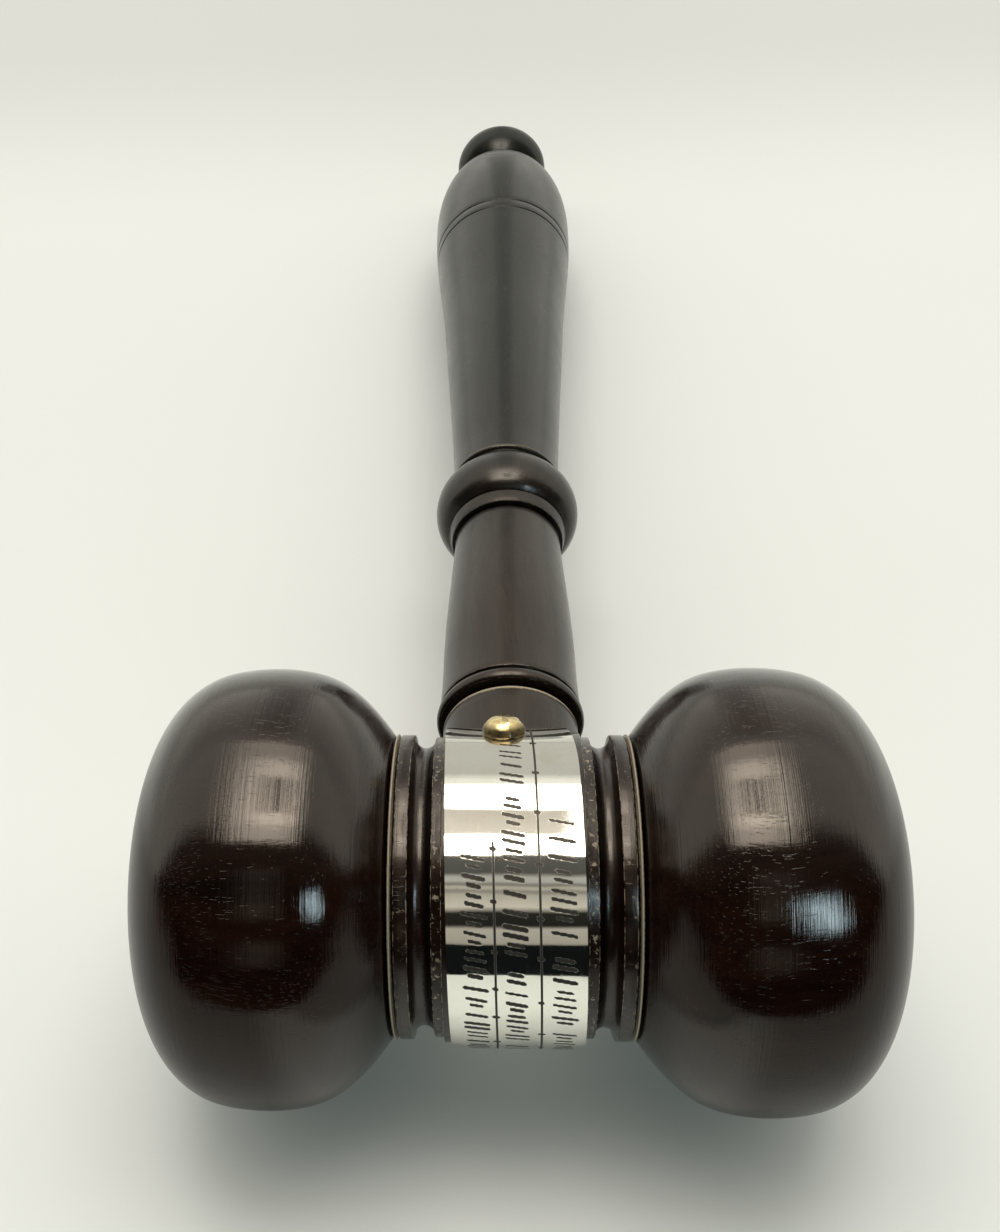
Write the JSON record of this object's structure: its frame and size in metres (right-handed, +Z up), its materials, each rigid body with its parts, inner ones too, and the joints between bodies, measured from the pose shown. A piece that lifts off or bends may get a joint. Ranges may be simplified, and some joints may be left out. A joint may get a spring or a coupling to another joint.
{
  "type": "gavel",
  "caption": "Turned hardwood gavel with a double-lobed head, a beaded swelling handle and a plain-edged silver plate round the head, lying on its side.",
  "frame": {"origin": "under the middle of the whole gavel, on the surface that it lies on", "axes": "+X along the head, +Y from the head towards the handle's end, +Z up from the surface"},
  "size_m": [0.0966, 0.2538, 0.0564],
  "materials": {
    "head_wood": "polished dark red-brown hardwood, high gloss",
    "handle_wood": "satin dark grey-brown hardwood",
    "silver": "mirror-polished silver plate",
    "brass": "polished brass"
  },
  "bodies": {
    "root": {"head": "head_wood", "handle": "handle_wood", "silver_band": "silver", "band_pin_upper": "brass", "band_pin_lower": "brass"}
  },
  "joints": []
}
